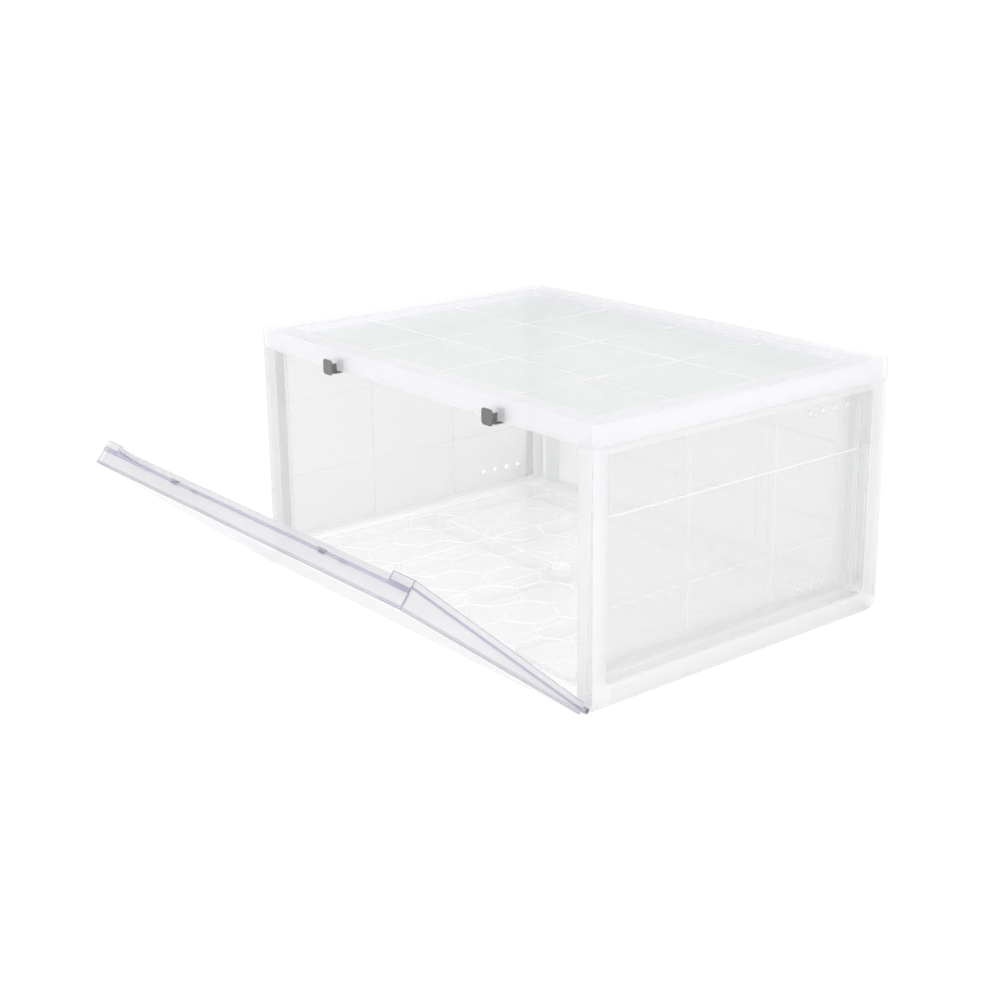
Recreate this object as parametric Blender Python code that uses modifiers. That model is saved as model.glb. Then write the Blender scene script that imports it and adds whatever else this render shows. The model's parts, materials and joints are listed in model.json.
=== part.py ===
"""Drop-front shoe box: five clear panels that press together and a wedge-shaped door on two pins.

Metres, +Z up. The origin is the centre of the box's underside, +Y points to the back and the door opens towards -Y.
The door is modelled open, resting on its stop.
"""

from math import cos, pi, radians, sin

import bmesh
import bpy
from mathutils import Matrix, Vector

# Driving dimensions of the box
WIDTH = 0.360
DEPTH = 0.262
HEIGHT = 0.176
WALL = 0.0020
GAP = 0.0003
EDGE = 0.0004
CORNER_STEPS = 3

# Lid
BAND_HEIGHT = 0.015
OVERHANG = 0.0008
RIM_WIDTH = 0.016
FIELD_DROP = 0.005
LID_CORNER = 0.003
PEG_FOOT = 0.117

# Side and back panels
POST_WIDTH = 0.0134
FRONT_BORDER = 0.0116
BACK_BORDER = 0.0137
LOW_BORDER = 0.0145
HIGH_BORDER = 0.0046
SIDE_RECESS = 0.010
BACK_RECESS = 0.0152
HEEL_RADIUS = 0.008
RIB_HEIGHTS = (0.0575, 0.1145)
VENT_ROWS = ((0.0265, 0.0620), (0.1460, 0.0670))
VENT_PITCH = 0.012
VENT_COUNT = 4
VENT_RADIUS = 0.0022
LEFT_LIFT = 0.0045
PEG_HOLE_DEPTH = 0.004

# Rib grid shared by the panels
GRID_X = (-0.081, 0.0, 0.081)
GRID_Y = (-0.043, 0.034)
RIB = 0.0012
RIB_RISE = 0.0008
CROSS_RISE = 0.0006
CROSS_ROOT = WALL * 0.35

# Base
FLOOR_TOP = 0.013
CURB_TOP = 0.020
RAIL_TOP = 0.0145
FOOT_RADIUS = 0.009

# Door
DOOR_LENGTH = 0.160
DOOR_WALL = 0.0022
DOOR_HALF_WIDTH = 0.1797
HINGE_FLANGE = 0.0072
FREE_FLANGE = 0.0174
STRIP_DEPTH = 0.011
LEDGE_DROP = 0.013
CORNER_BLOCK = 0.020
DOOR_OPEN = radians(52.0)

# Hinge, measured from the box's front face
PIVOT_FORWARD = 0.0036
PIVOT_HEIGHT = 0.0024
PIVOT_TO_FACE = 0.00395
PIVOT_TO_DOOR = 0.00406
KNUCKLE_RADIUS = 0.0021
NECK = KNUCKLE_RADIUS * 0.9
PIN_RADIUS = 0.0009
PIN_HOLE_RADIUS = 0.0012
EAR_WIDTH = 0.006

# Catches
CATCH_X = (-0.0860, 0.0890)
CATCH_WIDTH = 0.0104
CATCH_LOW = 0.1580
CATCH_HIGH = 0.1685
CATCH_STANDOFF = 0.0046
CATCH_CORNER = 0.0022
WEB_LOW = 0.1615
TONGUE_WIDTH = 0.003
STEEL = 0.0008
MAGNET_X = (-0.0880, 0.0870)
MAGNET_RADIUS = 0.003
MAGNET_STANDING = MAGNET_RADIUS / 2

HALF_WIDTH = WIDTH / 2
HALF_DEPTH = DEPTH / 2
BODY_X = HALF_WIDTH - OVERHANG
BODY_Y = HALF_DEPTH - OVERHANG
POST_INNER = BODY_X - POST_WIDTH
INSIDE_X = POST_INNER - GAP
BAND_LOW = HEIGHT - BAND_HEIGHT
PANEL_TOP = BAND_LOW - GAP
BACK_SKIRT = BODY_Y - BACK_RECESS - WALL - 0.001
SIDE_SHEET = BODY_X - SIDE_RECESS
PIVOT = Vector((0, -HALF_DEPTH - PIVOT_FORWARD, PIVOT_HEIGHT))

# The first three columns take (along, up, outward) of a panel to world X, Y and Z.
RIGHT_FRAME = Matrix(((0, 0, 1, 0), (1, 0, 0, 0), (0, 1, 0, 0), (0, 0, 0, 1)))
LEFT_FRAME = Matrix(((0, 0, -1, 0), (1, 0, 0, 0), (0, 1, 0, 0), (0, 0, 0, 1)))
BACK_FRAME = Matrix(((1, 0, 0, 0), (0, 0, 1, 0), (0, 1, 0, 0), (0, 0, 0, 1)))
TOP_FRAME = Matrix.Identity(4)
DOOR_FRAME = Matrix(((1, 0, 0, 0), (0, 0, -1, 0), (0, 1, 0, 0), (0, 0, 0, 1)))


def clear_scene():
    for obj in list(bpy.data.objects):
        bpy.data.objects.remove(obj, do_unlink=True)


def new_collection(name):
    collection = bpy.data.collections.new(name)
    bpy.context.scene.collection.children.link(collection)
    return collection


def new_material(name, colour, roughness, metallic=0.0, alpha=1.0):
    material = bpy.data.materials.new(name)
    material.use_nodes = True
    shader = material.node_tree.nodes["Principled BSDF"]
    shader.inputs["Base Color"].default_value = (*colour, 1.0)
    shader.inputs["Roughness"].default_value = roughness
    shader.inputs["Metallic"].default_value = metallic
    shader.inputs["Alpha"].default_value = alpha
    return material


def mesh_object(name, bm, collection, material=None):
    mesh = bpy.data.meshes.new(name)
    bm.to_mesh(mesh)
    bm.free()
    obj = bpy.data.objects.new(name, mesh)
    if material:
        mesh.materials.append(material)
    collection.objects.link(obj)
    return obj


def add_box(bm, low, high):
    low, high = Vector(low), Vector(high)
    matrix = Matrix.Translation((low + high) / 2) @ Matrix.Diagonal((*(high - low), 1))
    return bmesh.ops.create_cube(bm, size=1, matrix=matrix)["verts"]


def add_rod(bm, centre, axis, radius, length, segments=16):
    turn = Vector((0, 0, 1)).rotation_difference(Vector(axis)).to_matrix().to_4x4()
    matrix = Matrix.Translation(centre) @ turn
    bmesh.ops.create_cone(
        bm, cap_ends=True, segments=segments, radius1=radius, radius2=radius, depth=length, matrix=matrix
    )


def mirrored(side, low, high):
    """The box with its X range taken to the side given by the sign."""
    xs = sorted((side * low[0], side * high[0]))
    return (xs[0], *low[1:]), (xs[1], *high[1:])


def helper(name, boxes=(), rods=()):
    bm = bmesh.new()
    for low, high in boxes:
        add_box(bm, low, high)
    for rod in rods:
        add_rod(bm, *rod)
    obj = mesh_object(name, bm, HELPERS)
    obj.hide_render = True
    obj.display_type = "WIRE"
    return obj


def combine(obj, other, operation):
    modifier = obj.modifiers.new(other.name, "BOOLEAN")
    modifier.operation = operation
    modifier.solver = "MANIFOLD"
    modifier.object = other


def outline(low, high, radii=(0, 0, 0, 0)):
    """Counter-clockwise rectangle. radii are those of the corners, from the low one round."""
    corners = ((low[0], low[1]), (high[0], low[1]), (high[0], high[1]), (low[0], high[1]))
    points = []
    for index, (corner, radius) in enumerate(zip(corners, radii)):
        if not radius:
            points.append(corner)
            continue
        inward_u = 1 if index in (0, 3) else -1
        inward_v = 1 if index in (0, 1) else -1
        centre = (corner[0] + inward_u * radius, corner[1] + inward_v * radius)
        start = pi + index * pi / 2
        for step in range(CORNER_STEPS + 1):
            angle = start + step * pi / 2 / CORNER_STEPS
            points.append((centre[0] + radius * cos(angle), centre[1] + radius * sin(angle)))
    return points


def pan(name, frame, loops, wall, material):
    """Shell through loops of (along, up, outward) points, closed by its last loop, with its wall on the inside."""
    bm = bmesh.new()
    rings = [[bm.verts.new(frame @ Vector(point)) for point in loop] for loop in loops]
    for outer, inner in zip(rings, rings[1:]):
        for index in range(len(outer)):
            following = (index + 1) % len(outer)
            bm.faces.new((outer[index], outer[following], inner[following], inner[index]))
    bm.faces.new(rings[-1])
    if frame.determinant() < 0:
        bmesh.ops.reverse_faces(bm, faces=bm.faces[:])
    obj = mesh_object(name, bm, PARTS, material)
    shell = obj.modifiers.new("Wall", "SOLIDIFY")
    shell.solidify_mode = "NON_MANIFOLD"
    shell.nonmanifold_thickness_mode = "CONSTRAINTS"
    shell.thickness = wall
    shell.offset = -1
    edges = obj.modifiers.new("Edges", "BEVEL")
    edges.width = EDGE
    edges.segments = 1
    edges.limit_method = "ANGLE"
    edges.angle_limit = radians(40)
    return obj


def at_depth(points, depth):
    return [(*point, depth) for point in points]


def top_panel(material):
    corner, inner_corner = (LID_CORNER,) * 4, (LID_CORNER / 2,) * 4
    outer = outline((-HALF_WIDTH, -HALF_DEPTH), (HALF_WIDTH, HALF_DEPTH), corner)
    field_x, field_y = HALF_WIDTH - RIM_WIDTH, HALF_DEPTH - RIM_WIDTH
    field = outline((-field_x, -field_y), (field_x, field_y), inner_corner)
    field_top = HEIGHT - FIELD_DROP
    loops = [at_depth(outer, BAND_LOW), at_depth(outer, HEIGHT), at_depth(field, HEIGHT), at_depth(field, field_top)]
    lid = pan("top_panel", TOP_FRAME, loops, WALL, material)

    underside = field_top - WALL
    high, low = underside + WALL / 2, underside - RIB_RISE
    cross_high, cross_low = underside + CROSS_ROOT, underside - CROSS_RISE
    reach_x, reach_y = field_x + WALL / 2, field_y + WALL / 2
    across = [((-reach_x, y - RIB / 2, low), (reach_x, y + RIB / 2, high)) for y in GRID_Y]
    along = [((x - RIB / 2, -reach_y, cross_low), (x + RIB / 2, reach_y, cross_high)) for x in GRID_X]
    pegs = []
    for side in (-1, 1):
        for start, end in post_hollows():
            low_corner = (POST_INNER + WALL + GAP, start + GAP, PEG_FOOT)
            high_corner = (BODY_X - WALL - GAP, end - GAP, HEIGHT - WALL / 2)
            pegs.append(mirrored(side, low_corner, high_corner))
    combine(lid, helper("lid_ribs_across", across), "UNION")
    combine(lid, helper("lid_ribs_along", along), "UNION")
    combine(lid, helper("lid_pegs", pegs), "UNION")


def post_hollows():
    """The hollow of a side panel's front post and of its back post, as ranges along Y."""
    front = (-BODY_Y + WALL, -BODY_Y + FRONT_BORDER - WALL)
    back = (BODY_Y - BACK_BORDER + WALL, BODY_Y - WALL)
    return front, back


def side_panel(name, side, material):
    frame = RIGHT_FRAME if side > 0 else LEFT_FRAME
    outer = outline((-BODY_Y, 0), (BODY_Y, PANEL_TOP), (0, HEEL_RADIUS, 0, 0))
    window_low = (-BODY_Y + FRONT_BORDER, LOW_BORDER)
    window_high = (BODY_Y - BACK_BORDER, PANEL_TOP - HIGH_BORDER)
    window = outline(window_low, window_high, (0, HEEL_RADIUS / 2, 0, 0))
    loops = [
        at_depth(outer, POST_INNER),
        at_depth(outer, BODY_X),
        at_depth(window, BODY_X),
        at_depth(window, SIDE_SHEET),
    ]
    panel = pan(name, frame, loops, WALL, material)
    lift = LEFT_LIFT if side < 0 else 0

    step = WALL / 4
    inner = (POST_INNER + step / 4, POST_INNER + WALL)
    closers = []
    for low_y, high_y in ((-BODY_Y, window_low[0]), (window_high[0], BODY_Y)):
        high = (inner[1], high_y - step, PANEL_TOP - step)
        closers.append(mirrored(side, (inner[0], low_y + step, step), high))
    combine(panel, helper(name + "_posts", closers), "UNION")

    reach = WALL / 2
    across = []
    for rib_height in RIB_HEIGHTS:
        height = rib_height + lift
        low = (SIDE_SHEET - WALL / 2, window_low[0] - reach, height - RIB / 2)
        across.append(mirrored(side, low, (SIDE_SHEET + RIB_RISE, window_high[0] + reach, height + RIB / 2)))
    upright = []
    for y in GRID_Y:
        low = (SIDE_SHEET - CROSS_ROOT, y - RIB / 2, window_low[1] - reach)
        upright.append(mirrored(side, low, (SIDE_SHEET + CROSS_RISE, y + RIB / 2, window_high[1] + reach)))
    combine(panel, helper(name + "_ribs_across", across), "UNION")
    combine(panel, helper(name + "_ribs_upright", upright), "UNION")

    first, last = lug_range()
    neck = (PIVOT.y, -BODY_Y + WALL / 2)
    lug_low = (first, neck[0], PIVOT.z - NECK)
    lug = [mirrored(side, lug_low, (last, neck[1], PIVOT.z + NECK))]
    combine(panel, helper(name + "_lug", lug), "UNION")
    middle = side * (first + last) / 2
    knuckle = [((middle, PIVOT.y, PIVOT.z), (1, 0, 0), KNUCKLE_RADIUS, last - first + step)]
    combine(panel, helper(name + "_knuckle", rods=knuckle), "UNION")

    holes = []
    for start, end in post_hollows():
        low = (POST_INNER + WALL, start, PANEL_TOP - PEG_HOLE_DEPTH)
        holes.append(mirrored(side, low, (BODY_X - WALL, end, PANEL_TOP + WALL)))
    combine(panel, helper(name + "_peg_holes", holes), "DIFFERENCE")
    bores = [((middle, PIVOT.y, PIVOT.z), (1, 0, 0), PIN_HOLE_RADIUS, (last - first) * 2)]
    for height, first_y in VENT_ROWS:
        for index in range(VENT_COUNT):
            centre = (side * SIDE_SHEET, first_y + index * VENT_PITCH, height + lift)
            bores.append((centre, (1, 0, 0), VENT_RADIUS, 3 * WALL, 12))
    combine(panel, helper(name + "_bores", rods=bores), "DIFFERENCE")


def lug_range():
    """Where a side panel's hinge lug starts and ends in X, inboard of the door's ear."""
    last = DOOR_HALF_WIDTH - EAR_WIDTH - GAP
    return POST_INNER + WALL / 2, last


def back_panel(material):
    window_x = INSIDE_X - BACK_BORDER
    outer = outline((-INSIDE_X, 0), (INSIDE_X, PANEL_TOP))
    window = outline((-window_x, LOW_BORDER), (window_x, PANEL_TOP - HIGH_BORDER))
    sheet_y = BODY_Y - BACK_RECESS
    loops = [
        at_depth(outer, BACK_SKIRT),
        at_depth(outer, BODY_Y),
        at_depth(window, BODY_Y),
        at_depth(window, sheet_y),
    ]
    panel = pan("back_panel", BACK_FRAME, loops, WALL, material)
    reach = WALL / 2
    across = []
    for height in RIB_HEIGHTS:
        low = (-window_x - reach, sheet_y - WALL / 2, height - RIB / 2)
        across.append((low, (window_x + reach, sheet_y + RIB_RISE, height + RIB / 2)))
    upright = []
    for x in GRID_X:
        low = (x - RIB / 2, sheet_y - CROSS_ROOT, LOW_BORDER - reach)
        upright.append((low, (x + RIB / 2, sheet_y + CROSS_RISE, PANEL_TOP - HIGH_BORDER + reach)))
    combine(panel, helper("back_ribs_across", across), "UNION")
    combine(panel, helper("back_ribs_upright", upright), "UNION")


def bottom_panel(material):
    back_y = BACK_SKIRT - GAP
    outer = outline((-INSIDE_X, -BODY_Y), (INSIDE_X, back_y))
    loops = [at_depth(outer, 0), at_depth(outer, FLOOR_TOP)]
    base = pan("bottom_panel", TOP_FRAME, loops, WALL, material)

    step = WALL / 10
    root = FLOOR_TOP - WALL / 2
    x, y = INSIDE_X - step, back_y - step
    front = -BODY_Y + step
    ends = [((-x, front, root), (x, front + WALL, RAIL_TOP)), ((-x, y - WALL, root), (x, y, CURB_TOP))]
    curb_low = (x - WALL, front + WALL / 2, root - step)
    curbs = [mirrored(side, curb_low, (x - step, y - WALL / 2, CURB_TOP - step)) for side in (-1, 1)]
    combine(base, helper("base_curbs", curbs), "UNION")
    combine(base, helper("base_ends", ends), "UNION")

    along = [((rib_x - RIB / 2, front + WALL / 2, step), (rib_x + RIB / 2, y - WALL / 2, root)) for rib_x in GRID_X]
    across = [((-x + WALL / 2, -RIB / 2, 2 * step), (x - WALL / 2, RIB / 2, root - step))]
    foot_height = FLOOR_TOP - WALL * 0.7
    foot = [((0, 0, foot_height / 2), (0, 0, 1), FOOT_RADIUS, foot_height, 24)]
    combine(base, helper("base_ribs_along", along), "UNION")
    combine(base, helper("base_ribs_across", across), "UNION")
    combine(base, helper("base_foot", rods=foot), "UNION")


def flange_depth(height):
    """Depth of the door's side flange at a height above its lower edge."""
    return HINGE_FLANGE + (FREE_FLANGE - HINGE_FLANGE) * height / DOOR_LENGTH


def door_point(along, height, depth):
    """A point of the door from its hinge axis: height runs up the door's outer face, depth goes in from it."""
    return along, height + PIVOT_TO_DOOR, PIVOT_TO_FACE - depth


def door_box(low, high):
    """A box in the door's own axes, from (along, height, depth) corners."""
    return (
        (low[0], low[2] - PIVOT_TO_FACE, low[1] + PIVOT_TO_DOOR),
        (high[0], high[2] - PIVOT_TO_FACE, high[1] + PIVOT_TO_DOOR),
    )


def door_panel(material, hinge):
    face = outline((-DOOR_HALF_WIDTH, 0), (DOOR_HALF_WIDTH, DOOR_LENGTH))
    rim = [door_point(along, height, flange_depth(height)) for along, height in face]
    front = [door_point(along, height, 0) for along, height in face]
    door = pan("door_panel", DOOR_FRAME, [rim, front], DOOR_WALL, material)

    inner = DOOR_HALF_WIDTH - CORNER_BLOCK
    ledge = DOOR_LENGTH - LEDGE_DROP
    step = DOOR_WALL / 10
    far = flange_depth(ledge) - step
    cut_low = (-inner, ledge + step, STRIP_DEPTH - DOOR_WALL / 2)
    cut = [door_box(cut_low, (inner, DOOR_LENGTH + DOOR_WALL, FREE_FLANGE + DOOR_WALL))]
    combine(door, helper("door_ledge_cut", cut), "DIFFERENCE")
    riser_low = (-inner - step, ledge - DOOR_WALL, STRIP_DEPTH - DOOR_WALL)
    riser = door_box(riser_low, (inner + step, DOOR_LENGTH - step, STRIP_DEPTH))
    shelf_low = (-inner - step, ledge - DOOR_WALL, STRIP_DEPTH - DOOR_WALL / 2)
    shelf = door_box(shelf_low, (inner + step, ledge, far))
    combine(door, helper("door_riser", [riser]), "UNION")
    combine(door, helper("door_shelf", [shelf]), "UNION")
    cheeks = []
    for side in (-1, 1):
        low, high = door_box((inner, ledge - 1.5 * DOOR_WALL, STRIP_DEPTH - 1.5 * DOOR_WALL),
                             (inner + DOOR_WALL, DOOR_LENGTH - 2 * step, far + step / 2))
        cheeks.append(mirrored(side, low, high))
    combine(door, helper("door_cheeks", cheeks), "UNION")

    ears, knuckles, bores = [], [], []
    for side in (-1, 1):
        first, last = DOOR_HALF_WIDTH - EAR_WIDTH, DOOR_HALF_WIDTH - step
        low, high = (first, -NECK, 0), (last, NECK, PIVOT_TO_DOOR + DOOR_WALL / 2)
        ears.append(mirrored(side, low, high))
        middle = side * (first + last) / 2
        knuckles.append(((middle, 0, 0), (1, 0, 0), KNUCKLE_RADIUS, last - first - step))
        bores.append(((middle, 0, 0), (1, 0, 0), PIN_HOLE_RADIUS, 2 * EAR_WIDTH))
    for x in MAGNET_X:
        centre = (x, STRIP_DEPTH - DOOR_WALL / 2 - PIVOT_TO_FACE, magnet_height() + PIVOT_TO_DOOR)
        bores.append((centre, (0, 1, 0), MAGNET_RADIUS + GAP, 2 * DOOR_WALL))
    combine(door, helper("door_ears", ears), "UNION")
    combine(door, helper("door_knuckles", rods=knuckles), "UNION")
    combine(door, helper("door_bores", rods=bores), "DIFFERENCE")
    door.parent = hinge
    for tool in HELPERS.objects:
        if tool.name.startswith("door_"):
            tool.parent = hinge


def magnet_height():
    return DOOR_LENGTH - LEDGE_DROP / 2


def door_magnet(name, x, material, hinge):
    bm = bmesh.new()
    low, high = STRIP_DEPTH - DOOR_WALL, STRIP_DEPTH + MAGNET_STANDING
    add_rod(bm, (0, 0, 0), (0, 1, 0), MAGNET_RADIUS, high - low, 24)
    magnet = mesh_object(name, bm, PARTS, material)
    magnet.location = (x, (low + high) / 2 - PIVOT_TO_FACE, magnet_height() + PIVOT_TO_DOOR)
    magnet.parent = hinge


def hinge_pin(name, side, material):
    start = lug_range()[0] + GAP
    end = DOOR_HALF_WIDTH - GAP
    bm = bmesh.new()
    add_rod(bm, (0, 0, 0), (1, 0, 0), PIN_RADIUS, end - start)
    pin = mesh_object(name, bm, PARTS, material)
    pin.location = (side * (start + end) / 2, PIVOT.y, PIVOT.z)
    chamfer = pin.modifiers.new("Chamfer", "BEVEL")
    chamfer.width = PIN_RADIUS / 4
    chamfer.limit_method = "ANGLE"
    chamfer.angle_limit = radians(60)


def catch_plate(name, x, material):
    front = -HALF_DEPTH - CATCH_STANDOFF
    bm = bmesh.new()
    add_box(bm, (x - CATCH_WIDTH / 2, front, CATCH_LOW), (x + CATCH_WIDTH / 2, front + STEEL, CATCH_HIGH))
    across = [edge for edge in bm.edges if abs(edge.verts[0].co.y - edge.verts[1].co.y) > STEEL / 2]
    bmesh.ops.bevel(bm, geom=across, offset=CATCH_CORNER, segments=4, profile=0.5, affect="EDGES")
    plate = mesh_object(name, bm, PARTS, material)

    right = x + CATCH_WIDTH / 2
    behind = -HALF_DEPTH + WALL + GAP
    seat = BAND_LOW - GAP
    step = STEEL / 8
    web_high = (right - step, -HALF_DEPTH - GAP, CATCH_HIGH - CATCH_CORNER)
    web = ((right - STEEL - step, front + STEEL / 2, WEB_LOW), web_high)
    tongue_low = (right - TONGUE_WIDTH, front + STEEL / 4, seat - STEEL)
    tongue = (tongue_low, (right + TONGUE_WIDTH, behind + STEEL - step, seat))
    tab_low = (right - TONGUE_WIDTH - step, behind, seat - STEEL + step)
    tab = (tab_low, (right + TONGUE_WIDTH - step, behind + STEEL, CATCH_HIGH))
    for label, box in (("web", web), ("tongue", tongue), ("tab", tab)):
        combine(plate, helper(name + "_" + label, [box]), "UNION")


def build():
    clear = new_material("clear_frosted_plastic", (0.93, 0.95, 0.95), 0.25, alpha=0.35)
    lid = new_material("frosted_white_plastic", (0.95, 0.96, 0.96), 0.35, alpha=0.6)
    door = new_material("clear_violet_plastic", (0.88, 0.88, 0.93), 0.08, alpha=0.35)
    steel = new_material("grey_steel", (0.20, 0.20, 0.20), 0.40, 1.0)
    magnet = new_material("nickel_magnet", (0.35, 0.35, 0.36), 0.30, 1.0)

    top_panel(lid)
    bottom_panel(clear)
    side_panel("left_side_panel", -1, clear)
    side_panel("right_side_panel", 1, clear)
    back_panel(clear)

    hinge = bpy.data.objects.new("door_hinge_axis", None)
    PARTS.objects.link(hinge)
    hinge.location = PIVOT
    hinge.rotation_euler = (DOOR_OPEN, 0, 0)
    door_panel(door, hinge)
    for side, word in ((-1, "left"), (1, "right")):
        index = (side + 1) // 2
        door_magnet("door_magnet_" + word, MAGNET_X[index], magnet, hinge)
        hinge_pin("hinge_pin_" + word, side, steel)
        catch_plate("catch_plate_" + word, CATCH_X[index], steel)


clear_scene()
PARTS = new_collection("shoe_box")
HELPERS = new_collection("shoe_box_cutters")
build()
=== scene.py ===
"""Looks of the drop-front shoe box: frosted lid, clear panels, honeycomb floor and violet-edged door.

Metres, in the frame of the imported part: the origin is the centre of the underside, +Y points to the back.
"""

import json
from math import cos, pi, radians, sin, sqrt

import bmesh
import bpy
from mathutils import Matrix, Vector

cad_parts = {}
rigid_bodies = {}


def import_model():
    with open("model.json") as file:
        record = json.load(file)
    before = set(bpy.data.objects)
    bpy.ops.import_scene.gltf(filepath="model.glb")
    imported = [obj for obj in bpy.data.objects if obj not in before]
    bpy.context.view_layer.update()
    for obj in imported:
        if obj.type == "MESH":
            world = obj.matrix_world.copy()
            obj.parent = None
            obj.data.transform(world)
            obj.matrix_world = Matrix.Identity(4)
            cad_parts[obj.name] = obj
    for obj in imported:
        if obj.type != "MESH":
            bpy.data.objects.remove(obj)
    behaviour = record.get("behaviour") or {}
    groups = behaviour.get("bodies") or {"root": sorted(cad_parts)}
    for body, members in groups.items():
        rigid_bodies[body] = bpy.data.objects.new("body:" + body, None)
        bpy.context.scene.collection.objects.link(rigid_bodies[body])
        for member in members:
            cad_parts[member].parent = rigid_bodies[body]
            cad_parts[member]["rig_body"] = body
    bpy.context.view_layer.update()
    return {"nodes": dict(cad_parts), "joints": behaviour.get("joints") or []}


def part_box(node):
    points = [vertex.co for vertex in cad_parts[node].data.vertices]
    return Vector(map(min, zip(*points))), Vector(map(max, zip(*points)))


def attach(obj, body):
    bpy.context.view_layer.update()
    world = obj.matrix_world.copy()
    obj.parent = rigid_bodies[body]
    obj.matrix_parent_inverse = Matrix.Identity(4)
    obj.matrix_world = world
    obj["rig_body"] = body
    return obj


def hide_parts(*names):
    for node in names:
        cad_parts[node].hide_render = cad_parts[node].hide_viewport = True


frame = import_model()
HINGE = Vector(frame["joints"][0]["pos_m"])
SIDE_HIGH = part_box("right_side_panel")[1]
LID_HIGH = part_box("top_panel")[1]

# Honeycomb of the floor: cells across their flats, their grid, and the ridges between them
CELL = 0.038
CELL_SIDE = CELL / sqrt(3)
CELL_START = Vector((-0.133, -0.0776))
CELL_ROWS = range(-3, 9)
CELL_COLUMNS = range(-2, 10)
FLOOR_TOP = 0.013
RIDGE_TOP = 0.00030
RIDGE_FOOT = 0.00075
RIDGE_RISE = 0.0005

# How far the honeycomb stays off the floor's sides, front and back
SIDE_MARGIN = 0.0024
FRONT_MARGIN = 0.0030
BACK_MARGIN = 0.0026

# A face narrower than these is a chamfer, or the end of a wall or a rib
CHAMFER = 0.0007
WALL_END = 0.0019

# A face whose normal has a larger part than ALONG on an axis faces along it, and one with a smaller part than ACROSS
# lies along it
ALONG = 0.9
ACROSS = 0.1

# Ribs under the lid, over which its top is painted paler and glowing in faint lines: a painted highlight
GRID_X = (-0.081, 0.0, 0.081)
GRID_Y = (-0.043, 0.034)
HIGHLIGHT_LINE = 0.0030

# The lid's recessed field: in from the lid's edge, and down from its top to its two faces and to its pegs
FIELD_EDGE = 0.009
FIELD_TOP = 0.004
FIELD_UNDERSIDE = 0.0072
PEG_TOP = 0.020

# Foot under the middle of the floor
FOOT_RADIUS = 0.009
FOOT_TOP = 0.0105

# The door: how far it is open, and how far its outer face stands in front of the hinge line
DOOR_OPEN = radians(52.0)
FACE_STANDOFF = 0.00395

# Dark lines along the door's flanges, as ranges of depth behind its outer face: painted shade, in the door's own
# violet tint
DOOR_LINES = ((0.0, 0.0020), (0.0094, 0.0102), (0.0119, 0.0126))

# The door's sides: their heights from the hinge line, and their depth at each of the two
DOOR_REACH = (0.00406, 0.16406)
DOOR_DEPTHS = (0.0072, 0.0174)

# A dark line of painted shade along each side, as a range of distance from its slanting inner edge, and one down its
# free end
SPINE = (0.0034, 0.0050)
END_LINE = 0.0014

# The corner blocks at the free end, from this far across, with a dark outline of painted shade
BLOCK_LINE = (0.1597, 0.1611)

# The hinge side of the door, up to this height from the hinge line, and the widest of the door's lips
DOOR_FOOT = 0.012
DOOR_LIP = 0.0030

# The side panels' windows, measured in from their outer face
WINDOW_FRONT = 0.0095
WINDOW_BACK = 0.0125
RIB_FRONT = 0.0088
RIB_BACK = 0.0098
WINDOW_STEP = 0.0065

# Heights on a side panel: its window's foot and top, its upper rib, the depth of that rib's zone, and its frame's
# edges, between which the faces round the window lie
WINDOW_FOOT = 0.0130
WINDOW_TOP = 0.1558
HIGH_RIB = 0.1145
RIB_ZONE = 0.004
FRAME_EDGE = 0.004
SILL_TOP = 0.02

# Places from front to back on a side panel: the window's front and rear faces, and its two posts
WINDOW_START = (-0.12, -0.11)
WINDOW_END = 0.1
POST_BACK = -0.1165
REAR_POST = 0.1160

# Index of refraction of the clear plastics, which bends a view ray towards the normal, and how far they mirror
REFRACTION = 1.49
SHINE = 0.7

# The studio floor lies this far under the part, so that no two faces share a plane
FLOOR_DROP = 0.0002

# Studio: the floor's radius and the light it gives off
STAGE_RADIUS = 70
STAGE_GLOW = 0.86

# View
AZIMUTH = radians(50.91)
ELEVATION = radians(16.15)
ROLL = radians(-0.49)
CAMERA_AT = Vector((0.834, -0.7202, 0.4146))
LENS = 58.61
SHIFT = (-0.0135, -0.0467)


class Nodes:
    """Short calls for building a material's node tree."""

    def __init__(self, tree):
        self.tree = tree
        tree.nodes.clear()

    def add(self, kind, values=None, **settings):
        node = self.tree.nodes.new(kind)
        for key, value in settings.items():
            setattr(node, key, value)
        for key, value in (values or {}).items():
            if isinstance(value, bpy.types.NodeSocket):
                self.tree.links.new(value, node.inputs[key])
            else:
                node.inputs[key].default_value = value
        return node

    def math(self, operation, a, b=0.0):
        return self.add("ShaderNodeMath", {0: a, 1: b}, operation=operation).outputs[0]

    def blend(self, factor, a, b):
        mix = self.add("ShaderNodeMix", data_type="RGBA")
        for socket, value in ((mix.inputs[0], factor), (mix.inputs[6], a), (mix.inputs[7], b)):
            if isinstance(value, bpy.types.NodeSocket):
                self.tree.links.new(value, socket)
            else:
                socket.default_value = value
        return mix.outputs[2]

    def shade(self, factor, a, b):
        return self.add("ShaderNodeMixShader", {0: factor, 1: a, 2: b}).outputs[0]


def new_material(name):
    material = bpy.data.materials.new(name)
    material.use_nodes = True
    return material, Nodes(material.node_tree)


def rgb(r, g, b):
    return (r, g, b, 1.0)


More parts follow.
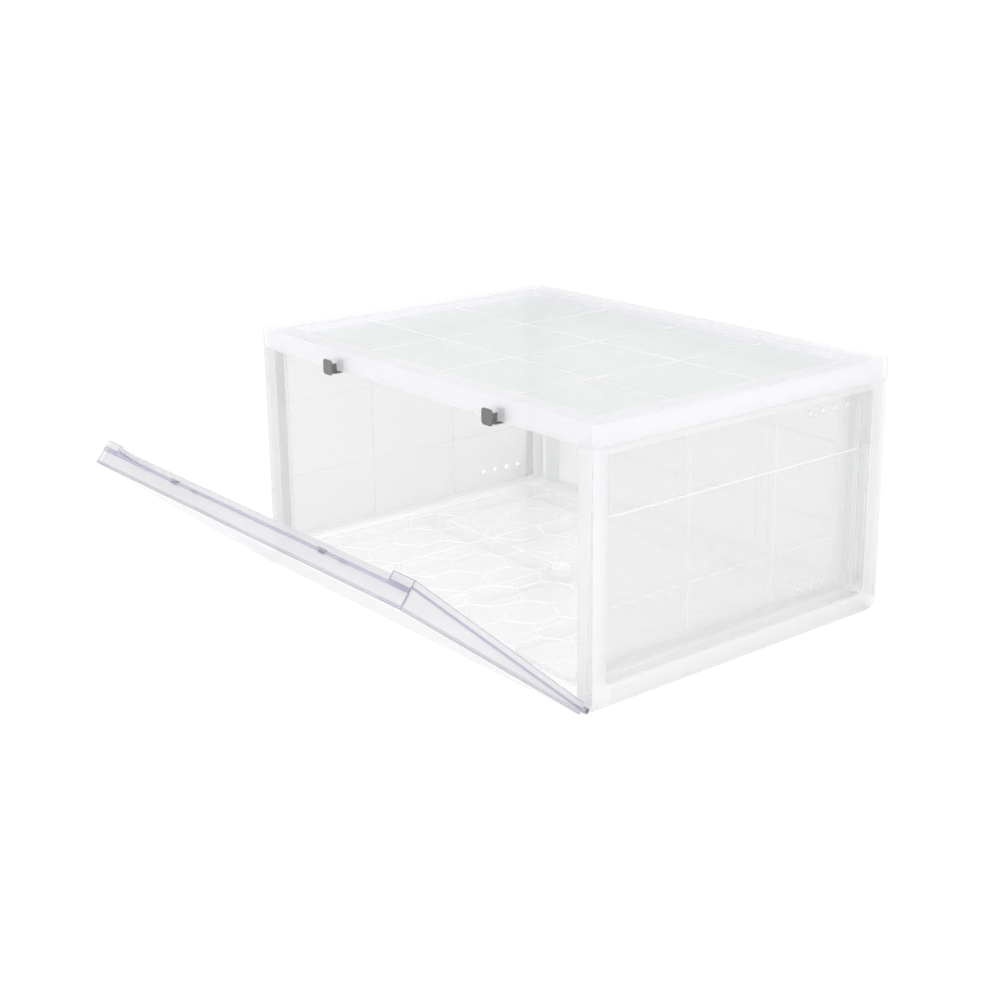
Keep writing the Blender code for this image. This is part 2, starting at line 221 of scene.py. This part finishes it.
def plastic(name, clear, haze, colour, painted_glow=0.0, gloss=0.12, grain=0.15):
    """Moulded plastic, seen one face at a time.

    clear is the light that a face lets through head on, haze the share that it scatters in its own colour, the glow
    is painted light that the face gives off though it is no lamp, gloss its roughness and grain that of its bumps.
    """
    material, n = new_material(name)
    where = n.add("ShaderNodeTexCoord").outputs["Object"]
    cloud = n.add("ShaderNodeTexNoise", {"Vector": where, "Scale": 22.0, "Detail": 3.0}).outputs[0]
    flow_space = n.add("ShaderNodeMapping", {"Vector": where, "Scale": (9.0, 60.0, 60.0)}).outputs[0]
    flow = n.add("ShaderNodeTexNoise", {"Vector": flow_space, "Scale": 1.0, "Detail": 2.0}).outputs[0]
    fine = n.add("ShaderNodeTexNoise", {"Vector": where, "Scale": 1400.0, "Detail": 2.0}).outputs[0]
    mottle = n.math("ADD", n.math("MULTIPLY", cloud, 0.6), n.math("MULTIPLY", flow, 0.4))
    bump = n.add("ShaderNodeBump", {"Strength": grain, "Distance": 0.0004, "Height": fine}).outputs[0]

    facing = n.add("ShaderNodeLayerWeight", {"Blend": 0.5}).outputs["Facing"]
    cosine = n.math("SUBTRACT", 1.0, facing)
    sine_squared = n.math("SUBTRACT", 1.0, n.math("MULTIPLY", cosine, cosine))
    bent = n.math("SQRT", n.math("SUBTRACT", 1.0, n.math("DIVIDE", sine_squared, REFRACTION**2)))
    path = n.math("DIVIDE", 1.0, bent)

    channels = n.add("ShaderNodeCombineColor")
    for index, value in enumerate(clear):
        n.tree.links.new(n.math("POWER", value, path), channels.inputs[index])
    window = n.add("ShaderNodeBsdfTransparent", {"Color": channels.outputs[0]}).outputs[0]

    uneven = n.math("ADD", 0.9, n.math("MULTIPLY", mottle, 0.2))
    amount = n.math("SUBTRACT", 1.0, n.math("POWER", 1.0 - haze, n.math("MULTIPLY", path, uneven)))
    rough = n.math("ADD", gloss, n.math("MULTIPLY", mottle, 0.12))
    paler = rgb(*(min(1.0, c * 1.02) for c in colour[:3]))
    body_colour = n.blend(mottle, colour, paler)
    body = n.add(
        "ShaderNodeBsdfPrincipled",
        {"Base Color": body_colour, "Roughness": n.math("ADD", rough, 0.25), "Normal": bump},
    ).outputs[0]
    through = n.add("ShaderNodeBsdfTranslucent", {"Color": body_colour, "Normal": bump}).outputs[0]
    sheet = n.shade(amount, window, n.shade(0.5, body, through))
    # Painted light: an emission that brightens the plastic, though it is no lamp
    if painted_glow:
        light = n.add("ShaderNodeEmission", {"Color": body_colour, "Strength": painted_glow}).outputs[0]
        sheet = n.add("ShaderNodeAddShader", {0: sheet, 1: light}).outputs[0]

    mirror = n.add("ShaderNodeBsdfGlossy", {"Color": rgb(1, 1, 1), "Roughness": rough, "Normal": bump}).outputs[0]
    fresnel = n.math("MULTIPLY", n.add("ShaderNodeFresnel", {"IOR": REFRACTION}).outputs[0], SHINE)
    n.add("ShaderNodeOutputMaterial", {"Surface": n.shade(fresnel, sheet, mirror)})
    return material


def metal(name, colour, roughness):
    """Rolled sheet metal: fine lengthwise scratches, faint stains and a soft grain."""
    material, n = new_material(name)
    where = n.add("ShaderNodeTexCoord").outputs["Object"]
    along = n.add("ShaderNodeMapping", {"Vector": where, "Scale": (300.0, 300.0, 2600.0)}).outputs[0]
    scratch = n.add("ShaderNodeTexNoise", {"Vector": along, "Scale": 1.0, "Detail": 4.0}).outputs[0]
    stain = n.add("ShaderNodeTexNoise", {"Vector": where, "Scale": 420.0, "Detail": 3.0}).outputs[0]
    darker = rgb(*(c * 0.62 for c in colour[:3]))
    base = n.blend(stain, darker, colour)
    bump = n.add("ShaderNodeBump", {"Strength": 0.25, "Distance": 0.0002, "Height": scratch}).outputs[0]
    rough = n.math("ADD", roughness, n.math("MULTIPLY", stain, 0.18))
    body = n.add(
        "ShaderNodeBsdfPrincipled",
        {"Base Color": base, "Metallic": 1.0, "Roughness": rough, "Normal": bump},
    ).outputs[0]
    n.add("ShaderNodeOutputMaterial", {"Surface": body})
    return material


def new_object(name, bm, materials):
    mesh = bpy.data.meshes.new(name)
    bm.to_mesh(mesh)
    bm.free()
    obj = bpy.data.objects.new(name, mesh)
    for material in materials:
        mesh.materials.append(material)
    bpy.context.scene.collection.objects.link(obj)
    return obj


def skin(node, materials, choose, cuts=()):
    """The node's own shape, each of its flat faces in the material that choose(centre, normal, width) names.

    cuts are planes, each a point and a normal, that part the faces into bands first.
    """
    source = frame["nodes"][node]
    bm = bmesh.new()
    bm.from_mesh(source.data)
    bmesh.ops.remove_doubles(bm, verts=bm.verts, dist=1e-6)
    bmesh.ops.dissolve_limit(bm, angle_limit=radians(1), verts=bm.verts, edges=bm.edges)
    widths = bm.faces.layers.float.new("width")
    for face in bm.faces:
        face[widths] = 2 * face.calc_area() / face.calc_perimeter()
    for point, normal in cuts:
        geometry = bm.verts[:] + bm.edges[:] + bm.faces[:]
        bmesh.ops.bisect_plane(bm, geom=geometry, plane_co=point, plane_no=normal)
    names = list(materials)
    for face in bm.faces:
        part = choose(face.calc_center_median(), face.normal, face[widths])
        face.material_index = names.index(part)
        face.smooth = False
    bm.faces.layers.float.remove(widths)
    piece = new_object(node + "_skin", bm, materials.values())
    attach(piece, source["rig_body"])
    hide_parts(node)


def by_width(centre, normal, width):
    return "chamfer" if width < CHAMFER else "end" if width < WALL_END else "sheet"


def base_part(centre, normal, width):
    if centre.z < FOOT_TOP and max(abs(centre.x), abs(centre.y)) < FOOT_RADIUS:
        return "foot"
    return by_width(centre, normal, width)


def back_part(centre, normal, width):
    part = by_width(centre, normal, width)
    return "rib" if part == "end" and normal.y > ALONG else part


def side_cuts():
    """Planes that part a side panel's frame into its posts, its top and its foot, and a step off the window."""
    step = SIDE_HIGH.x - WINDOW_STEP
    levels = [(Vector((0, 0, z)), Vector((0, 0, 1))) for z in (WINDOW_FOOT, WINDOW_TOP)]
    posts = [(Vector((0, y, 0)), Vector((0, 1, 0))) for y in (POST_BACK, REAR_POST)]
    steps = [(Vector((x, 0, 0)), Vector((1, 0, 0))) for x in (-step, step)]
    return levels + posts + steps


def side_part(centre, normal, width):
    depth = SIDE_HIGH.x - abs(centre.x)
    if RIB_FRONT < depth < RIB_BACK and width < WALL_END:
        return "rib" if abs(centre.z - HIGH_RIB) < RIB_ZONE else "faint_rib"
    if width < CHAMFER:
        return "chamfer"
    if WINDOW_FRONT < depth < WINDOW_BACK and abs(normal.x) > ALONG:
        return "window"
    if width < WALL_END:
        return "shade" if depth > WINDOW_FRONT and normal.y < -ALONG else "end"
    if depth < WINDOW_FRONT and abs(normal.x) < ACROSS and FRAME_EDGE < centre.z < SIDE_HIGH.z - FRAME_EDGE:
        below = normal.z > ALONG and centre.z < SILL_TOP
        if below or (normal.y > ALONG and WINDOW_START[0] < centre.y < WINDOW_START[1]):
            return "shade"
    if WINDOW_STEP < depth < WINDOW_FRONT and normal.y < -ALONG and centre.y > WINDOW_END:
        return "step"
    if centre.y < POST_BACK:
        return "post"
    if centre.y > REAR_POST:
        return "rear"
    return "cap" if centre.z > WINDOW_TOP else "sill" if centre.z < WINDOW_FOOT else "frame"


def lid_part(centre, normal, width):
    below_top = LID_HIGH.z - centre.z
    inner = max(abs(centre.x) - LID_HIGH.x, abs(centre.y) - LID_HIGH.y) < -FIELD_EDGE
    if inner and below_top > FIELD_UNDERSIDE and width < WALL_END:
        return "rib"
    if width < CHAMFER:
        return "chamfer"
    if below_top > PEG_TOP:
        return "peg"
    if inner and abs(normal.z) > ALONG and below_top > FIELD_TOP:
        near = min([abs(centre.x - x) for x in GRID_X] + [abs(centre.y - y) for y in GRID_Y])
        return "rib_highlight" if normal.z > 0 and near < HIGHLIGHT_LINE / 2 else "field"
    return "rim" if normal.z > 0.5 else "band"


def lid_cuts():
    """Planes beside each rib, which part the lid's top into its fields and the painted highlight lines over the
    ribs.
    """
    cuts = []
    for places, axis in ((GRID_X, Vector((1, 0, 0))), (GRID_Y, Vector((0, 1, 0)))):
        cuts += [((place + side * HIGHLIGHT_LINE / 2) * axis, axis) for place in places for side in (-1, 1)]
    return cuts


def door_place(point):
    """A point of the opened door as across, in from its outer face, and up from the hinge line."""
    x, y, z = Matrix.Rotation(-DOOR_OPEN, 3, "X") @ (point - HINGE)
    return x, y + FACE_STANDOFF, z


def door_inset(depth, height):
    """How far a point of the door's side lies in from that side's slanting inner edge."""
    share = (height - DOOR_REACH[0]) / (DOOR_REACH[1] - DOOR_REACH[0])
    return DOOR_DEPTHS[0] + share * (DOOR_DEPTHS[1] - DOOR_DEPTHS[0]) - depth


def door_line_part(across, depth, height, facing):
    """The dark line that a point of a flange lies on, if any."""
    edge, upper, lower = DOOR_LINES
    if abs(facing.x) > ALONG:
        at_end = height > DOOR_REACH[1] - END_LINE and depth < upper[0]
        if at_end or SPINE[0] < door_inset(depth, height) < SPINE[1]:
            return "spine"
        return "edge" if depth < edge[1] else None
    if abs(across) > BLOCK_LINE[0]:
        upright = abs(across) < BLOCK_LINE[1] and depth > upper[0]
        if upright or depth < edge[1] or upper[0] < depth < lower[1]:
            return "spine"
    if depth < edge[1]:
        return "edge"
    return "line" if any(low < depth < high for low, high in (upper, lower)) else None


def door_part(centre, normal, width):
    across, depth, height = door_place(centre)
    facing = Matrix.Rotation(-DOOR_OPEN, 3, "X") @ normal
    at_foot = height < DOOR_FOOT
    if width < CHAMFER:
        return "face" if at_foot and abs(across) < BLOCK_LINE[1] else "chamfer"
    if abs(facing.y) < ACROSS and not at_foot:
        line = door_line_part(across, depth, height, facing)
        if line:
            return line
    level = abs(facing.y) > ALONG
    if width < WALL_END or (level and width < DOOR_LIP):
        return "end"
    return "face" if level or (abs(facing.z) > ALONG and at_foot) else "flange"


def door_cuts():
    """Planes where the look of the door's flanges changes."""
    turn = Matrix.Rotation(DOOR_OPEN, 3, "X")

    def plane(across, depth, height, normal):
        return HINGE + turn @ Vector((across, depth - FACE_STANDOFF, height)), turn @ Vector(normal)

    slope = (DOOR_DEPTHS[1] - DOOR_DEPTHS[0]) / (DOOR_REACH[1] - DOOR_REACH[0])
    cuts = [plane(0, depth, 0, (0, 1, 0)) for line in DOOR_LINES for depth in line if depth]
    cuts += [plane(0, DOOR_DEPTHS[0] - inset, DOOR_REACH[0], (0, 1, -slope)) for inset in SPINE]
    cuts += [plane(side * across, 0, 0, (1, 0, 0)) for across in BLOCK_LINE for side in (-1, 1)]
    cuts.append(plane(0, 0, DOOR_REACH[1] - END_LINE, (0, 0, 1)))
    return cuts


def honeycomb(material):
    """Ridges that stand on the floor in a honeycomb, with flat tops and sloping sides."""
    low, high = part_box("bottom_panel")
    bm = bmesh.new()
    corners = [Vector((CELL_SIDE * sin(k * pi / 3), CELL_SIDE * cos(k * pi / 3))) for k in range(6)]
    for row in CELL_ROWS:
        for column in CELL_COLUMNS:
            centre = CELL_START + Vector(((column + 0.5 * (row % 2)) * CELL, row * CELL_SIDE * 1.5))
            points = [centre + corner for corner in corners]
            bm.faces.new([bm.verts.new((*point, FLOOR_TOP)) for point in reversed(points)])
    bmesh.ops.remove_doubles(bm, verts=bm.verts, dist=1e-5)
    planes = (
        ((SIDE_MARGIN - high.x, 0, 0), (-1, 0, 0)),
        ((high.x - SIDE_MARGIN, 0, 0), (1, 0, 0)),
        ((0, low.y + FRONT_MARGIN, 0), (0, -1, 0)),
        ((0, high.y - BACK_MARGIN, 0), (0, 1, 0)),
    )
    for point, normal in planes:
        geometry = bm.verts[:] + bm.edges[:] + bm.faces[:]
        bmesh.ops.bisect_plane(bm, geom=geometry, plane_co=point, plane_no=normal, clear_outer=True)
    cells = bm.faces[:]
    tops = bmesh.ops.inset_individual(bm, faces=cells, thickness=RIDGE_TOP, use_even_offset=True)["faces"]
    bmesh.ops.inset_individual(bm, faces=cells, thickness=RIDGE_FOOT - RIDGE_TOP, use_even_offset=True)
    for v in {v for face in tops for v in face.verts}:
        v.co.z += RIDGE_RISE
    bmesh.ops.delete(bm, geom=cells, context="FACES")
    ridges = new_object("floor_honeycomb", bm, (material,))
    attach(ridges, "box")


def build_camera():
    forward = Vector((-sin(AZIMUTH) * cos(ELEVATION), cos(AZIMUTH) * cos(ELEVATION), -sin(ELEVATION)))
    right = forward.cross(Vector((0, 0, 1))).normalized()
    up = right.cross(forward)
    tilted_right = cos(ROLL) * right + sin(ROLL) * up
    tilted_up = cos(ROLL) * up - sin(ROLL) * right
    camera = bpy.data.objects.new("camera", bpy.data.cameras.new("camera"))
    bpy.context.scene.collection.objects.link(camera)
    turn = Matrix((tilted_right, tilted_up, -forward)).transposed().to_4x4()
    camera.matrix_world = Matrix.Translation(CAMERA_AT) @ turn
    camera.data.lens = LENS
    camera.data.shift_x, camera.data.shift_y = SHIFT
    camera.data.clip_end = 200
    bpy.context.scene.camera = camera


def build_stage():
    bm = bmesh.new()
    bmesh.ops.create_circle(bm, cap_ends=True, segments=96, radius=STAGE_RADIUS)
    material, n = new_material("studio_floor")
    where = n.add("ShaderNodeTexCoord").outputs["Object"]
    soft = n.add("ShaderNodeTexNoise", {"Vector": where, "Scale": 3.0}).outputs[0]
    body = n.add(
        "ShaderNodeBsdfPrincipled",
        {
            "Base Color": n.blend(soft, rgb(0.21, 0.21, 0.21), rgb(0.23, 0.23, 0.23)),
            "Roughness": 0.9,
            "Specular IOR Level": 0.0,
            "Emission Color": rgb(1, 1, 1),
            "Emission Strength": STAGE_GLOW,
        },
    ).outputs[0]
    n.add("ShaderNodeOutputMaterial", {"Surface": body})
    floor = new_object("studio_floor", bm, (material,))
    floor.location.z = -FLOOR_DROP

    world = bpy.data.worlds.new("studio")
    bpy.context.scene.world = world
    world.use_nodes = True
    n = Nodes(world.node_tree)
    light = n.add("ShaderNodeBackground", {"Color": rgb(1, 1, 1), "Strength": 1.0}).outputs[0]
    n.add("ShaderNodeOutputWorld", {"Surface": light})
    bpy.context.scene.view_settings.view_transform = "Standard"
    cycles = bpy.context.scene.cycles
    cycles.transparent_max_bounces = 64
    cycles.max_bounces = 24
    cycles.diffuse_bounces = 12
    cycles.glossy_bounces = 8


def area_light(name, location, target, size, power):
    data = bpy.data.lights.new(name, "AREA")
    data.shape = "RECTANGLE"
    data.size, data.size_y = size
    data.energy = power
    lamp = bpy.data.objects.new(name, data)
    lamp.location = location
    lamp.visible_glossy = False
    lamp.rotation_euler = (Vector(target) - Vector(location)).to_track_quat("-Z", "Y").to_euler()
    bpy.context.scene.collection.objects.link(lamp)


build_camera()
build_stage()
area_light("key", (1.5, -1.6, 1.5), (0, 0, 0.1), (1.4, 1.4), 26)

# The glow values below are painted light: emissions that brighten the plastic, though it is no lamp
side_window = plastic("side_window", (0.937, 0.938, 0.938), 0.08, rgb(0.985, 0.987, 0.986), painted_glow=0.016)
# A darker copy of the right window: painted shade, as both side panels are the same moulding
left_window_painted_shade = plastic("left_window_painted_shade", (0.903, 0.905, 0.905), 0.08, rgb(0.97, 0.972, 0.971), painted_glow=0.010)
side_frame = plastic("side_frame", (0.962, 0.964, 0.965), 0.06, rgb(0.985, 0.987, 0.99), painted_glow=0.008)
# The frame's bottom strip, made clearer and glowing: painted light
side_sill_painted_light = plastic("side_sill_painted_light", (0.975, 0.977, 0.977), 0.10, rgb(0.985, 0.987, 0.99), painted_glow=0.025)
# The frame's top strip, made paler and glowing: a painted highlight
side_cap_painted_light = plastic("side_cap_painted_light", (0.985, 0.985, 0.985), 0.20, rgb(0.98, 0.98, 0.99), painted_glow=0.045)
side_post = plastic("side_post", (0.985, 0.987, 0.99), 0.40, rgb(0.975, 0.977, 0.993), painted_glow=0.030)
# A darker copy of the front post: painted shade
left_post_painted_shade = plastic("left_post_painted_shade", (0.935, 0.936, 0.937), 0.25, rgb(0.93, 0.932, 0.933))
# A greyer copy of the post look for the rear corners: painted shade
rear_post_painted_shade = plastic("rear_post_painted_shade", (0.962, 0.964, 0.965), 0.12, rgb(0.95, 0.952, 0.955))
side_shade = plastic("side_shade", (0.980, 0.980, 0.982), 0.10, rgb(0.96, 0.96, 0.96), painted_glow=0.02)
# A dark line on the left window's rear step: painted shade
side_step_painted_shade = plastic("side_step_painted_shade", (0.62, 0.62, 0.63), 0.10, rgb(0.60, 0.60, 0.62))
side_rib = plastic("side_rib", (0.970, 0.970, 0.970), 0.30, rgb(1.0, 1.0, 1.0), painted_glow=0.070)
faint_rib = plastic("faint_rib", (0.960, 0.960, 0.960), 0.20, rgb(1.0, 1.0, 1.0), painted_glow=0.040)
# A dimmer copy of the side ribs: painted shade
left_rib_painted_shade = plastic("left_rib_painted_shade", (0.935, 0.935, 0.936), 0.12, rgb(0.96, 0.96, 0.96), painted_glow=0.010)
# Dark lines on the back panel's rib ends: painted shade
back_rib_painted_shade = plastic("back_rib_painted_shade", (0.60, 0.60, 0.60), 0.10, rgb(0.50, 0.50, 0.51))
back_sheet = plastic("back_sheet", (0.978, 0.980, 0.980), 0.05, rgb(0.98, 0.982, 0.981), painted_glow=0.012)
clear_end = plastic("clear_wall_ends", (0.96, 0.962, 0.963), 0.22, rgb(0.99, 0.993, 0.993), painted_glow=0.03)
clear_chamfer = plastic("clear_chamfers", (0.97, 0.97, 0.97), 0.30, rgb(0.99, 0.992, 0.995), painted_glow=0.04, gloss=0.2)
base_sheet = plastic("base_sheet", (0.992, 0.993, 0.993), 0.12, rgb(0.995, 0.995, 0.995), painted_glow=0.042)
# The foot made greyer than the floor around it: painted shade
base_foot = plastic("base_foot", (0.95, 0.95, 0.95), 0.12, rgb(0.90, 0.90, 0.90))
lid_field = plastic("lid_field", (0.966, 0.974, 0.973), 0.10, rgb(0.975, 0.982, 0.985), painted_glow=0.003, gloss=0.3)
# The lid's top over the ribs, paler and glowing: a painted highlight
lid_sink_painted_highlight = plastic("lid_sink_painted_highlight", (0.975, 0.980, 0.980), 0.20, rgb(0.99, 0.99, 1.0), painted_glow=0.035, gloss=0.3)
lid_rim = plastic("lid_rim", (0.970, 0.973, 0.978), 0.16, rgb(0.98, 0.983, 0.99), painted_glow=0.012, gloss=0.3)
lid_band = plastic("lid_band", (0.972, 0.972, 0.985), 0.22, rgb(0.985, 0.985, 1.0), painted_glow=0.030, gloss=0.3)
lid_rib = plastic("lid_rib", (0.98, 0.98, 0.98), 0.30, rgb(1.0, 1.0, 1.0), painted_glow=0.04, gloss=0.3)
lid_peg = plastic("lid_peg", (0.990, 0.990, 0.995), 0.04, rgb(0.99, 0.99, 1.0), painted_glow=0.012)
door_face = plastic("door_face", (0.978, 0.978, 0.982), 0.05, rgb(0.93, 0.93, 0.95), gloss=0.05, grain=0.05)
door_flange = plastic("door_flange", (0.985, 0.985, 0.988), 0.36, rgb(0.865, 0.865, 0.882), gloss=0.05, grain=0.05)
# The door's wall ends, lines, edges, spines and chamfers are darker: painted shade, in the door's own violet tint
door_end = plastic("door_wall_ends", (0.86, 0.85, 0.91), 0.15, rgb(0.75, 0.74, 0.86), gloss=0.08, grain=0.05)
door_line = plastic("door_lines", (0.80, 0.79, 0.86), 0.28, rgb(0.58, 0.56, 0.68), gloss=0.08, grain=0.05)
door_edge = plastic("door_edge", (0.82, 0.82, 0.83), 0.30, rgb(0.66, 0.66, 0.68), gloss=0.08, grain=0.05)
door_spine = plastic("door_spines", (0.78, 0.77, 0.84), 0.28, rgb(0.58, 0.56, 0.69), gloss=0.08, grain=0.05)
door_chamfer = plastic("door_chamfers", (0.66, 0.64, 0.74), 0.25, rgb(0.46, 0.44, 0.58), gloss=0.1, grain=0.05)
ridge = plastic("ridge", (0.99, 0.99, 0.99), 0.5, rgb(1.0, 1.0, 1.0), painted_glow=0.05, gloss=0.2)
steel = metal("dull_steel", rgb(0.30, 0.30, 0.30), 0.35)
nickel = metal("nickel", rgb(0.66, 0.66, 0.68), 0.30)

base_looks = {"sheet": base_sheet, "end": clear_end, "chamfer": clear_chamfer, "foot": base_foot}
skin("bottom_panel", base_looks, base_part)
back_looks = {"sheet": back_sheet, "end": clear_end, "rib": back_rib_painted_shade, "chamfer": clear_chamfer}
skin("back_panel", back_looks, back_part)
side_looks = {
    "window": side_window,
    "frame": side_frame,
    "sill": side_sill_painted_light,
    "cap": side_cap_painted_light,
    "post": side_post,
    "rear": rear_post_painted_shade,
    "shade": side_shade,
    "step": side_frame,
    "rib": side_rib,
    "faint_rib": faint_rib,
    "end": clear_end,
    "chamfer": clear_chamfer,
}
# The left panel's looks are darker copies of the right panel's: painted shade
left_looks_painted_shade = {
    **side_looks,
    "window": left_window_painted_shade,
    "post": left_post_painted_shade,
    "step": side_step_painted_shade,
    "rib": left_rib_painted_shade,
    "faint_rib": left_rib_painted_shade,
}
skin("left_side_panel", left_looks_painted_shade, side_part, side_cuts())
skin("right_side_panel", side_looks, side_part, side_cuts())
lid_looks = {
    "field": lid_field,
    "rib_highlight": lid_sink_painted_highlight,
    "rim": lid_rim,
    "band": lid_band,
    "rib": lid_rib,
    "peg": lid_peg,
    "chamfer": lid_band,
}
skin("top_panel", lid_looks, lid_part, lid_cuts())
door_looks = {
    "face": door_face,
    "flange": door_flange,
    "end": door_end,
    "line": door_line,
    "edge": door_edge,
    "spine": door_spine,
    "chamfer": door_chamfer,
}
skin("door_panel", door_looks, door_part, door_cuts())
for name in ("catch_plate_left", "catch_plate_right", "hinge_pin_left", "hinge_pin_right"):
    for slot in frame["nodes"][name].material_slots:
        slot.material = steel
for name in ("door_magnet_left", "door_magnet_right"):
    for slot in frame["nodes"][name].material_slots:
        slot.material = nickel
honeycomb(ridge)
